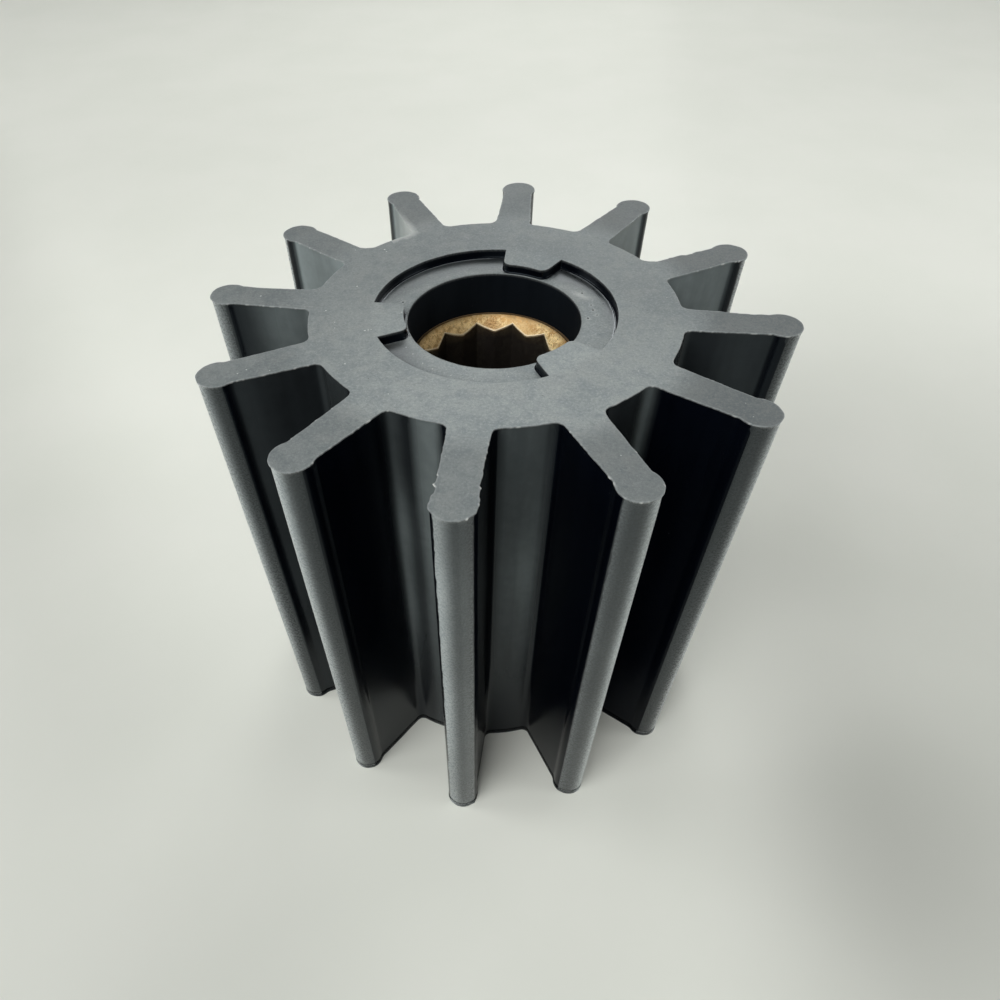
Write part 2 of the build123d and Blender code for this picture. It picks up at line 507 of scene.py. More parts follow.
SIDE_LIGHT = np.where(on([7], -1) & (FACING < 0), np.interp(-FACING, (0, 23, 38, 53, 90), (0.95, 0.90, 1.6, 3.0, 3.0)), SIDE_LIGHT)
SIDE_LIGHT = np.where(on([8, 9], -1) & (FACING < 0), 0.85 - 0.70 * smooth(5.0, 48.0, -FACING), SIDE_LIGHT)
SIDE_LIGHT = np.where(on([4, 5]) & (FACING < -12), SIDE_LIGHT * (1.0 + np.where(BNO == 5, 0.34, 0.16) * smooth(12.0, 30.0, -FACING)), SIDE_LIGHT)
SIDE_LIGHT = np.where(on([7, 8, 9]) & (FACING > 12), SIDE_LIGHT * (1.0 + 0.35 * smooth(12.0, 30.0, FACING)), SIDE_LIGHT)
BAND_TONE_AND_LIGHT = BAND_TONE_AND_LIGHT * SIDE_LIGHT
# how ragged the edge of the ground band is
EDGE_WORK = np.full(len(OUT), 0.28)
EDGE_WORK[on([6])] = 1.0
EDGE_WORK[on([7], -1)] = 0.8
EDGE_WORK[on([5], -1)] = 0.45

# A thin dusty film on the moulded walls with painted sheen, heavier on some, those that face the bright surroundings;
# (blade, side, amount at the top, amount at the foot)
DUST_SHEEN_TOP = np.full(len(OUT), 0.15)
DUST_SHEEN_LOW = np.full(len(OUT), 0.05)
for k, side, hi, lo in ((1, 1, 1.00, 0.60), (2, 1, 0.86, 0.40), (3, 1, 0.44, 0.20), (4, 1, 0.055, 0.02), (5, 1, 0.0, 0.0),
                        (5, -1, 0.004, 0.002), (4, -1, 0.004, 0.002), (6, 1, 0.004, 0.002), (6, -1, 0.004, 0.002),
                        (7, -1, 0.0, 0.0), (7, 1, 0.004, 0.002), (8, -1, 0.0, 0.0), (9, -1, 0.07, 0.03),
                        (10, -1, 0.55, 0.22), (11, -1, 0.78, 0.4), (0, 1, 0.35, 0.15), (0, -1, 0.35, 0.15)):
    m = on([k], side, [1, 2, 3])
    DUST_SHEEN_TOP[m], DUST_SHEEN_LOW[m] = hi, lo
# on one blade it thins out towards the tip
DUST_SHEEN_TOP = DUST_SHEEN_TOP * np.where(on([3], 1), 0.10 + 0.90 * smooth(43.0, 33.0, RAD), 1.0)
for k, hi, lo in ((4, 0.09, 0.03), (5, 0.34, 0.04), (6, 0.28, 0.02), (7, 0.04, 0.01), (8, 0.08, 0.02), (3, 0.2, 0.1), (2, 0.2, 0.1)):
    m = on([k], 1, [0]) | on([(k + 1) % BLADES], -1, [0])
    DUST_SHEEN_TOP[m], DUST_SHEEN_LOW[m] = hi, lo
# painted reflection: the wall left of the nearest blade is streaked, paler at both ends, dark between
AROUND = np.degrees(np.arctan2(OUT[:, 1], OUT[:, 0])) % 360.0
m = on([5], 1, [0, 1]) | on([6], -1, [0])
DUST_SHEEN_TOP[m] = np.interp(AROUND[m] - 255.0, (-9.6, -8.4, -7.0, -5.6, -4.0, -1.8, 0.4, 6.5), (0.04, 0.22, 0.38, 0.26, 0.07, 0.07, 0.40, 0.43))
DUST_SHEEN_LOW[m] = np.interp(AROUND[m] - 255.0, (-1.8, 0.4), (0.02, 0.10))
LEFT_STREAK = m & (AROUND < 253.0)
m = on([7], -1, [0])
DUST_SHEEN_TOP[m], DUST_SHEEN_LOW[m] = 0.32, 0.02
m = on([8], -1, [0])
DUST_SHEEN_TOP[m], DUST_SHEEN_LOW[m] = 0.05, 0.02
m = on([8], -1, [1])
DUST_SHEEN_TOP[m], DUST_SHEEN_LOW[m] = 0.24, 0.04
FRONT_HUB = on([6], 1, [0]) | on([7], -1, [0])
RIGHT_HALF = on([7], -1, [0])
# pale dust and painted sheen lie thick in the root of one blade's wall
ROOT_SHEEN = np.where(on([1], 1), 0.42 * smooth(41.0, 31.5, RAD), 0.0)
DUST_SHEEN_TOP[LAB == 4] = 0.0
DUST_SHEEN_LOW[LAB == 4] = 0.0

# the sides that face the light are the dullest
QUIET = np.where(on([6], 1, [2, 3, 4]) | on([7, 8], -1, [2, 3, 4]), 1.0, 0.0)


def blur(v, n):
    k = np.hanning(2 * n + 3)[1:-1]
    k /= k.sum()
    return np.convolve(np.concatenate([v[-n:], v, v[:n]]), k, "valid")


DUST_SHEEN_TOP, DUST_SHEEN_LOW = blur(DUST_SHEEN_TOP, 3), blur(DUST_SHEEN_LOW, 3)


def wall_ring(shell, idx, z, lip=None, dust=0.0, rim=0.0, crumbs=0.0):
    """One level of the outer wall, with the moulding's slight waves."""
    p, n, s = OUT[idx], OUT_N[idx], ARC_S[idx]
    p = p + TANGENT[idx] * (LEAN[idx] * smooth(12.0, 84.0, z))[:, None]
    off = 0.020 * noise2(s, np.full(len(s), z), 6.0, 26.0, 31)
    off = off + 0.006 * noise2(s, np.full(len(s), z), 1.6, 9.0, 32)
    off = off - GROUND[idx]
    # thin ragged seam where the ground band ends on each tip
    seam = np.exp(-((TIP_ANGLE[idx] - BAND_EDGE[idx] + 3.0) / 6.0) ** 2) * (LAB[idx] == 4)
    rag = np.clip(noise2(s * 0 + BNO[idx] * 50 + BSIDE[idx] * 13, np.full(len(s), z), 1.0, 0.9, 33) + 0.1, 0, 1)
    off = off + seam * (0.02 + 0.17 * rag * EDGE_WORK[idx])
    off = off + BURR[idx] * smooth(HEIGHT - 2.2, HEIGHT - 1.2, z) * (0.0 if lip is not None and z > HEIGHT - 0.3 else 1.0)
    # the foot of each tip spreads a little
    off = off + LIP_LOW[idx] * (1.0 - smooth(0.1, 1.0, z)) * (0.0 if lip is not None and z < 0.2 else 1.0)
    if lip is not None:
        off = lip[0] * off + lip[1][idx]
    f = smooth(8.0, 80.0, z)
    film = (DUST_SHEEN_TOP[idx] * f + DUST_SHEEN_LOW[idx] * (1 - f)) * (1 + 0.25 * noise2(s, np.full(len(s), z), 5.0, 14.0, 34))
    # painted sheen between the two front blades: it is heaviest halfway up
    film = film * np.where(FRONT_HUB[idx], 1.0 - 0.42 * smooth(52.0, 86.0, z), 1.0)
    film = film * np.where(LEFT_STREAK[idx], 1.0 + 0.4 * smooth(20.0, 45.0, z) - 1.00 * smooth(58.0, 80.0, z), 1.0)
    film = film * np.where(RIGHT_HALF[idx], 1.0 + 0.20 * smooth(18.0, 34.0, z) * smooth(72.0, 56.0, z), 1.0)
    tone = BAND_TONE_AND_LIGHT[idx] * (1 + 0.16 * noise2(s * 0 + BNO[idx] * 31, np.full(len(s), z), 1.0, 11.0, 35))
    # painted shade: darker towards the foot; painted light halfway up on two blades
    tone = tone * (0.50 + 0.50 * z / HEIGHT) * np.where(np.isin(BNO[idx], (4, 8)), 1.0 + 0.35 * smooth(76.0, 52.0, z) * smooth(10.0, 34.0, z), 1.0)
    # painted shade just below the lip on the ground faces of two blades
    tone = tone * np.where(np.isin(BNO[idx], (6, 7)), 0.72 + 0.28 * smooth(HEIGHT - 4.0, HEIGHT - 16.0, z), 1.0)
    return shell.ring(within(p + n * off[:, None]), z, dust=dust, rim=rim, band=BAND[idx], film=film, tone=tone,
                      pale=np.maximum(crumbs * CRUMB[idx], ROOT_SHEEN[idx] * f), quiet=QUIET[idx])


# marks in the end face and the recess floor: x, y, radius, depth, how pale, how dark
GRAINS = ((-21.6, 17.6, 0.20, 0.0, 0.9, 0), (-21.1, 16.9, 0.14, 0.0, 0.8, 0), (-23.6, 4.6, 0.16, 0.0, 1.0, 0),
          (-38.9, -0.1, 0.16, 0.0, 0.9, 0), (-26.8, 16.9, 0.13, 0.0, 0.8, 0), (-26.9, -3.4, 0.15, 0.0, 0.9, 0),
          (-24.6, -6.6, 0.13, 0.0, 0.7, 0), (-19.3, -8.4, 0.17, 0.0, 1.0, 0), (-18.8, -8.2, 0.15, 0.0, 0.9, 0),
          (-18.4, -8.0, 0.11, 0.0, 0.8, 0), (-35.5, -21.6, 0.14, 0.0, 0.8, 0), (-34.5, -20.5, 0.14, 0.0, 0.9, 0),
          (-31.0, -20.3, 0.13, 0.0, 0.7, 0), (-33.7, 24.9, 0.15, 0.0, 0.9, 0), (-33.2, 23.6, 0.12, 0.0, 0.8, 0),
          (-20.3, -17.4, 0.15, 0.0, 0.9, 0), (-14.6, -2.6, 0.12, 0.0, 0.8, 0), (-24.2, -8.2, 0.12, 0.0, 0.8, 0),
          (5.2, -26.2, 0.12, 0.0, 0.6, 0), (22.5, -14.5, 0.12, 0.0, 0.6, 0), (27.3, 6.2, 0.12, 0.0, 0.5, 0),
          (-3.1, 27.4, 0.12, 0.0, 0.5, 0), (-2.4, -36.0, 0.10, 0.0, 0.6, 0), (20.0, -33.2, 0.12, 0.0, 0.6, 0),
          (-12.4, -23.9, 0.12, 0.0, 0.7, 0), (36.8, -20.4, 0.10, 0.0, 0.5, 0), (14.8, 22.8, 0.16, 0.05, 0.0, 0.6),
          (-16.0, -20.6, 0.16, 0.05, 0.0, 0.5), (9.2, -21.8, 0.14, 0.05, 0.0, 0.5), (24.1, 2.0, 0.16, 0.05, 0.0, 0.5))
PITS = ((13.83, 8.97, 0.22, 0.18, 0.0, 1.0), (15.41, 5.34, 0.17, 0.12, 0.0, 0.9), (15.77, 3.85, 0.20, 0.15, 0.0, 0.9),
        (16.44, 2.41, 0.16, 0.12, 0.0, 0.8), (15.03, 1.37, 0.24, 0.18, 0.0, 1.0), (15.25, -6.56, 0.24, 0.18, 0.0, 1.0),
        (-15.57, 3.07, 0.24, 0.18, 0.0, 1.0), (-16.2, 7.6, 0.14, 0.08, 0.0, 0.7), (-4.6, -16.4, 0.14, 0.0, 0.6, 0.0),
        (-9.3, -13.8, 0.13, 0.0, 0.8, 0.0), (-7.6, -15.1, 0.14, 0.0, 0.7, 0.0), (-11.2, -11.6, 0.13, 0.0, 0.8, 0.0),
        (-1.2, -16.9, 0.12, 0.0, 0.6, 0.0), (3.9, -15.8, 0.12, 0.0, 0.6, 0.0), (-12.6, -9.9, 0.12, 0.0, 0.8, 0.0),
        (16.7, 8.6, 0.12, 0.08, 0.0, 0.7), (17.4, 5.9, 0.12, 0.08, 0.0, 0.6), (17.0, -3.2, 0.12, 0.08, 0.0, 0.5))


def marks(extra, table):
    """Adds each mark's own points to the loose ones; returns all points with their depth and two tones."""
    keep = np.ones(len(extra), bool)
    for x, y, rad, *_ in table:
        keep &= np.hypot(extra[:, 0] - x, extra[:, 1] - y) > rad + 0.12
    pts = [extra[keep]]
    n = int(keep.sum())
    dz, pale, dark = [np.zeros(n)], [np.zeros(n)], [np.zeros(n)]
    for i, (x, y, rad, depth, p, d) in enumerate(table):
        a = np.arange(7) * 2 * math.pi / 7 + i
        c = np.stack([np.cos(a), np.sin(a)], -1)
        wob = (1 + 0.25 * (hash01(np.arange(7) + 10 * i, 71) - 0.5))[:, None]
        pts += [[[x, y]], [x, y] + c * rad * 0.55 * wob, [x, y] + c * rad * 1.05 * wob]
        dz += [[-depth], np.full(7, -depth * 0.75), np.zeros(7)]
        pale += [[p], np.full(7, p), np.full(7, 0.25 if d > 0.75 else 0.0)]
        dark += [[d], np.full(7, d), np.zeros(7)]
    return np.concatenate(pts), np.concatenate(dz), np.concatenate(pale), np.concatenate(dark)


def build_rubber():
    sh = Shell()
    full = np.arange(len(OUT))
    half = full[::2]
    H = HEIGHT
    # lower edge, fine
    low = [
        wall_ring(sh, full, 0.0, (1.0, LIP_LOW - 0.03)),
        wall_ring(sh, full, 0.04, (1.0, LIP_LOW)),
        wall_ring(sh, full, 0.24),
        wall_ring(sh, full, 0.55),
        wall_ring(sh, full, 1.0),
    ]
    for a, b in zip(low[:-1], low[1:]):
        sh.join(a, b)
    # wall, every second point
    zs = np.concatenate([[1.6, 2.6], np.linspace(4.2, H - 3.4, 42), [H - 2.6, H - 1.9, H - 1.35]])
    mid = [wall_ring(sh, half, float(z)) for z in zs]
    sh.join_half(low[-1], mid[0], flip=True)
    for a, b in zip(mid[:-1], mid[1:]):
        sh.join(a, b)
    # upper edge, fine, with the flash
    top = [
        wall_ring(sh, full, H - 0.85, (1.0, LIP * 0.0)),
        wall_ring(sh, full, H - 0.42, (0.8, LIP * 0.10)),
        wall_ring(sh, full, H - 0.26, (0.3, LIP * 0.62)),
        wall_ring(sh, full, H - 0.15, (0.0, LIP * 0.97), rim=0.4, crumbs=0.8),
        wall_ring(sh, full, H - 0.055, (0.0, LIP), rim=1.0, crumbs=1.0),
        wall_ring(sh, full, H - 0.010, (0.0, LIP - 0.035), rim=1.0, dust=0.5, crumbs=1.0),
        wall_ring(sh, full, H, (0.0, LIP - 0.095), rim=0.8, dust=1.0, crumbs=0.7),
        wall_ring(sh, full, H, (0.0, LIP - 0.30), rim=0.0, dust=1.0),
    ]
    # join_half wants the fine ring first and makes faces that look down from it
    for a, b in zip(top[:-1], top[1:]):
        sh.join(a, b)
    n = len(mid[-1])
    fine, coarse = top[0], mid[-1]
    for i in range(n):
        f0, f1, f2 = fine[2 * i], fine[2 * i + 1], fine[(2 * i + 2) % len(fine)]
        c0, c1 = coarse[i], coarse[(i + 1) % n]
        sh.faces.extend([(c0, f1, f0), (c0, c1, f1), (c1, f2, f1)])

    # ring recess: edge, wall, foot fillet
    rs = np.concatenate([[0], np.cumsum(np.linalg.norm(np.roll(REC, -1, 0) - REC, axis=1))[:-1]])
    rt = float(np.linalg.norm(np.roll(REC, -1, 0) - REC, axis=1).sum())
    edge = 0.02 * noise1(rs, 1.1, 41, rt) + 0.015 * noise1(rs, 3.7, 42, rt)

    def rec_ring(off, z, **vals):
        return sh.ring(REC + REC_N * (edge + off)[:, None], z, **vals)

    f = RECESS_FOOT
    # a fine bead runs round the foot of the wall, fading in places
    ra = np.arctan2(REC[:, 1], REC[:, 0])
    off_land = np.full(len(REC), 9.0)          # angle from the nearest land's side
    for k in range(3):
        d = np.abs((ra - LAND_FIRST - k * 2 * math.pi / 3 + math.pi) % (2 * math.pi) - math.pi) - LAND_HALF
        off_land = np.minimum(off_land, d)
    run = np.where(REC_KIND == 0, 0.10 + 0.90 * smooth(0.05, 0.14, off_land), 0.10)
    bead = 0.09 * np.clip(0.75 + 0.5 * noise1(rs, 6.0, 43, rt) + 0.2 * noise1(rs, 0.9, 44, rt), 0.1, 1.0) * np.clip(run * 1.2 - 0.2, 0, 1)
    rec = [
        rec_ring(0.22, H, dust=1.0, rim=0.0),
        rec_ring(0.08, H, dust=1.0, rim=0.6),
        rec_ring(0.025, H - 0.03, dust=0.5, rim=0.9),
        rec_ring(0.0, H - 0.11, dust=0.0, rim=0.3),
        rec_ring(0.0, H - 0.5),
        rec_ring(0.0, H - 0.9),
        rec_ring(0.0, RECESS_Z + f, foot=0.3),
        rec_ring(-f * (1 - math.cos(math.radians(30))), RECESS_Z + f * (1 - math.sin(math.radians(30))), foot=1.0),
        rec_ring(-f * (1 - math.cos(math.radians(60))), RECESS_Z + f * (1 - math.sin(math.radians(60))), foot=1.0),
        rec_ring(-f, RECESS_Z, foot=0.7),
        # the bead's crest is painted pale: a painted highlight
        rec_ring(-f - 0.06 * run, RECESS_Z + bead * 0.6, foot=0.4, line=0.35 * run),
        rec_ring(-f - 0.13 * run, RECESS_Z + bead, line=run),
        rec_ring(-f - 0.20 * run, RECESS_Z + bead * 0.5, line=0.5 * run),
        # painted shade at the foot of the wall, lighter on its front side
        rec_ring(-f - 0.28 * run, RECESS_Z, foot=0.5, dust=0.14 + 0.60 * smooth(0.0, 0.5, np.cos(ra - math.radians(285)))),
    ]
    for a, b in zip(rec[:-1], rec[1:]):
        sh.join(a, b, flip=False)

    # bore from the recess floor down to the insert, the insert's seat, and the bore below it
    nb = 288
    ang = np.linspace(0, 2 * math.pi, nb, endpoint=False)
    unit = np.stack([np.cos(ang), np.sin(ang)], -1)
    bs = ang * BORE_R
    bt = 2 * math.pi * BORE_R
    chip = 0.05 * noise1(bs, 0.9, 51, bt) + 0.06 * np.clip(noise1(bs, 2.3, 52, bt), 0, 1)

    def bore_ring(r, z, **vals):
        # painted reflection: the bore wall is a little paler on its left side
        vals.setdefault("film", 0.012 + 0.012 * np.clip(-unit[:, 0], 0, 1))
        vals.setdefault("dull", 1.0)
        return sh.ring(unit * (np.broadcast_to(r, ang.shape))[:, None], z, **vals)

    # the rim's outermost ring must stay inside the lands' inner arc
    by_land = np.zeros(nb)
    for k in range(3):
        d = np.abs((ang - LAND_FIRST - k * 2 * math.pi / 3 + math.pi) % (2 * math.pi) - math.pi)
        by_land = np.maximum(by_land, 1 - smooth(LAND_HALF, LAND_HALF + 0.06, d))
    rim_out = (0.17 + chip) * (1 - by_land) + (0.09 + 0.2 * chip) * by_land
    bore = [
        bore_ring(BORE_R + rim_out, RECESS_Z, dust=0.9, rim=0.35),
        bore_ring(BORE_R + rim_out * 0.45, RECESS_Z - 0.03, dust=0.6, rim=0.9),
        bore_ring(BORE_R + rim_out * 0.08, RECESS_Z - 0.14, rim=0.3),
        bore_ring(BORE_R, RECESS_Z - 0.5),
    ]
    for z in np.linspace(RECESS_Z - 1.3, SEAT_TOP + 0.15, 5):
        bore.append(bore_ring(BORE_R, float(z)))
    bore.append(bore_ring(BORE_R, SEAT_TOP))
    bore.append(bore_ring(INSERT_R, SEAT_TOP))
    bore.append(bore_ring(INSERT_R, HEIGHT / 2))
    bore.append(bore_ring(INSERT_R, SETBACK))
    bore.append(bore_ring(BORE_R, SETBACK))
    for z in (6.5, 4.0, 1.6, 0.6):
        bore.append(bore_ring(BORE_R, z))
    bore.append(bore_ring(BORE_R + 0.02 + chip * 0.2, 0.16, rim=0.2))
    bore.append(bore_ring(BORE_R + 0.07 + chip * 0.4, 0.04, rim=0.6))
    bore.append(bore_ring(BORE_R + 0.15 + chip * 0.5, 0.0))
    for a, b in zip(bore[:-1], bore[1:]):
        sh.join(a, b, flip=False)

    co = np.concatenate(sh.co)
    # upper end face, with the larger grains of dust that lie on it
    outer, inner = co[top[-1]][:, :2], co[rec[0]][:, :2]
    extra = scatter(outer, inner, 1.15, 0.42, 61)
    xy, dz, pale, dark = marks(extra, GRAINS)
    sh.fill(top[-1], rec[0], xy, HEIGHT + np.minimum(dz, 0), up=True, dust=1.0, pale=pale, dark=dark)
    # recess floor, with its pits and a pale smear
    outer, inner = co[rec[-1]][:, :2], co[bore[0]][:, :2]
    extra = scatter(outer, inner, 0.6, 0.2, 62)
    xy, dz, pale, dark = marks(extra, PITS)
    r = np.linalg.norm(xy, axis=1)
    d = np.abs((xy[:, 0] - 13.6) * 0.58 + (xy[:, 1] - 8.2) * 0.81)        # across the smear
    l = (xy[:, 0] - 13.6) * 0.81 - (xy[:, 1] - 8.2) * 0.58                # and along it
    pale = np.maximum(pale, 0.45 * np.exp(-(d / 0.55) ** 2 - (l / 1.5) ** 2))
    az = np.degrees(np.arctan2(xy[:, 1], xy[:, 0])) % 360
    # less dust and painted shade near the wall, deepest in the shadow beside one land: the radius where it starts, how
    # fast it deepens, and how little is left at the wall
    at = (0, 5, 20, 35, 50, 60, 100, 115, 130, 145, 160, 172, 180, 210, 216, 228, 240, 260, 300, 320, 345, 360)
    start = np.interp(az, at, (17.8, 17.3, 18.0, 17.3, 14.4, 14.4, 14.6, 14.4, 15.0, 15.0, 15.0, 18.0, 19.0, 15.0, 14.9, 15.0, 15.2, 16.0, 15.5, 17.0, 18.6, 17.8))
    power = np.interp(az, at, (0.5, 0.6, 2.4, 2.2, 1.25, 1.2, 1.3, 1.0, 0.9, 0.8, 0.6, 0.4, 0.3, 3.0, 4.0, 2.0, 1.0, 1.0, 1.0, 1.0, 0.5, 0.5))
    least = np.interp(az, at, (0.50, 0.30, 0.08, 0.04, 0.05, 0.05, 0.06, 0.07, 0.07, 0.08, 0.10, 0.60, 0.95, 0.24, 0.24, 0.50, 0.86, 0.95, 0.95, 0.95, 0.90, 0.50))
    # the floor is a little darker at the front
    full = np.interp(az, (0, 200, 225, 320, 345, 360), (1.0, 1.0, 0.87, 0.85, 0.95, 1.0))
    clear_of_shade = np.clip((19.35 - r) / (19.35 - start), 0.0, 1.0) ** power
    gran = 0.08 * noise2(xy[:, 0], xy[:, 1], 1.1, 1.1, 64)
    sh.fill(rec[-1], bore[0], xy, RECESS_Z + dz, up=True,
            dust=np.clip((least + (1 - least) * clear_of_shade) * full * (1 + gran), 0, 1), pale=pale, dark=dark)
    # lower end face
    outer, inner = co[low[0]][:, :2], co[bore[-1]][:, :2]
    extra = scatter(outer, inner, 2.2, 0.6, 63)
    sh.fill(low[0], bore[-1], extra, 0.0, up=False, dust=1.0)
    return sh.make("rubber_moulding")


rubber = build_rubber()


# ------------------------------------------------------------------ brass insert
def spline_radius(a):
    """Distance from the axis to the splined wall at angle a."""
    pitch = 2 * math.pi / TEETH
    half = pitch / 2
    u = np.abs((a - SPLINE_PHASE + half) % pitch - half)       # 0 at a vee, half at a crest
    cr = MINOR_R + CREST_R
    c = np.array([cr * math.cos(half), cr * math.sin(half)])
    apex = np.array([MAJOR_R, 0.0])
    d = c - apex
    dist = math.hypot(*d)
    turn = math.asin(CREST_R / dist)
    run = math.sqrt(dist ** 2 - CREST_R ** 2)
    ang = math.atan2(d[1], d[0]) + turn
    touch = apex + run * np.array([math.cos(ang), math.sin(ang)])
    ta = math.atan2(touch[1], touch[0])
    # straight side from the apex to the touching point
    dx, dy = math.cos(ang), math.sin(ang)
    r_line = (MAJOR_R * dy) / (np.cos(u) * dy - np.sin(u) * dx)
    # near side of the crest circle
    b = np.cos(u) * c[0] + np.sin(u) * c[1]
    disc = np.clip(b * b - (cr * cr - CREST_R ** 2), 0, None)
    r_arc = b - np.sqrt(disc)
    return np.where(u < ta, r_line, r_arc)


def build_insert():
    sh = Shell()
    per = 44
    # closer together at the vees and on the crests' rounding
    half = math.pi / TEETH
    t = np.linspace(0, 1, per // 2 + 1)
    u = half * (0.72 * t + 0.28 * t ** 2)
    cell = np.concatenate([u[:-1], (2 * half - u[::-1])[:-1]])
    ang = np.concatenate([SPLINE_PHASE + k * 2 * half + cell for k in range(TEETH)])
    unit = np.stack([np.cos(ang), np.sin(ang)], -1)
    rs = spline_radius(ang)

    def ring(r, z, **vals):
        return sh.ring(unit * np.broadcast_to(r, ang.shape)[:, None], z, **vals)

    top, low = HEIGHT - SETBACK, SETBACK
    e = 0.07

    def end(z0, s):
        """Rings from the outside in, at the end at height z0; s is -1 at the top end and +1 at the lower end."""
        out = [ring(INSERT_R, z0), ring(15.6, z0), ring(BORE_R + 0.01, z0, ledge=1.0), ring(LEADIN_R + 0.24, z0, ledge=1.0),
               ring(LEADIN_R + 0.20, z0, ledge=1.0, ringmask=1.0), ring(LEADIN_R + 0.05, z0, ringmask=1.0),
               ring(LEADIN_R + 0.01, z0 + s * 0.03, ringmask=0.4)]
        depth = LEADIN_R - rs
        for k in (0.10, 0.3, 0.5, 0.7, 0.88):
            out.append(ring(LEADIN_R - k * (LEADIN_R - rs), z0 + s * k * depth))
        out.append(ring(rs + e, z0 + s * (depth - e), rim=0.6))
        out.append(ring(rs + e * 0.3, z0 + s * (depth + e * 0.3), rim=1.0))
        out.append(ring(rs, z0 + s * (depth + e * 1.4), rim=0.5))
        return out

    up = end(top, -1)
    dn = end(low, +1)
    for a, b in zip(up[:-1], up[1:]):
        sh.join(a, b)
    wall = [up[-1], ring(rs, top - (LEADIN_R - rs) - 0.40, deep=0.9)]
    for z in np.linspace(top - 3.6, low + 3.6, 15):
        wall.append(ring(rs, float(z), deep=1.0))
    wall += [ring(rs, low + (LEADIN_R - rs) + 0.40, deep=0.9), dn[-1]]
    for a, b in zip(wall[:-1], wall[1:]):
        sh.join(a, b)
    dn = dn[::-1]
    for a, b in zip(dn[:-1], dn[1:]):
        sh.join(a, b)
    outside = [dn[-1]] + [ring(INSERT_R, z) for z in (26.0, 44.0, 62.0)] + [up[0]]
    for a, b in zip(outside[:-1], outside[1:]):
        sh.join(a, b)
    return sh.make("brass_insert_splined")


insert = build_insert()


# ------------------------------------------------------------------ materials
def material(name):
    m = bpy.data.materials.new(name)
    m.use_nodes = True
    nt = m.node_tree
    nt.nodes.clear()
    return m, nt


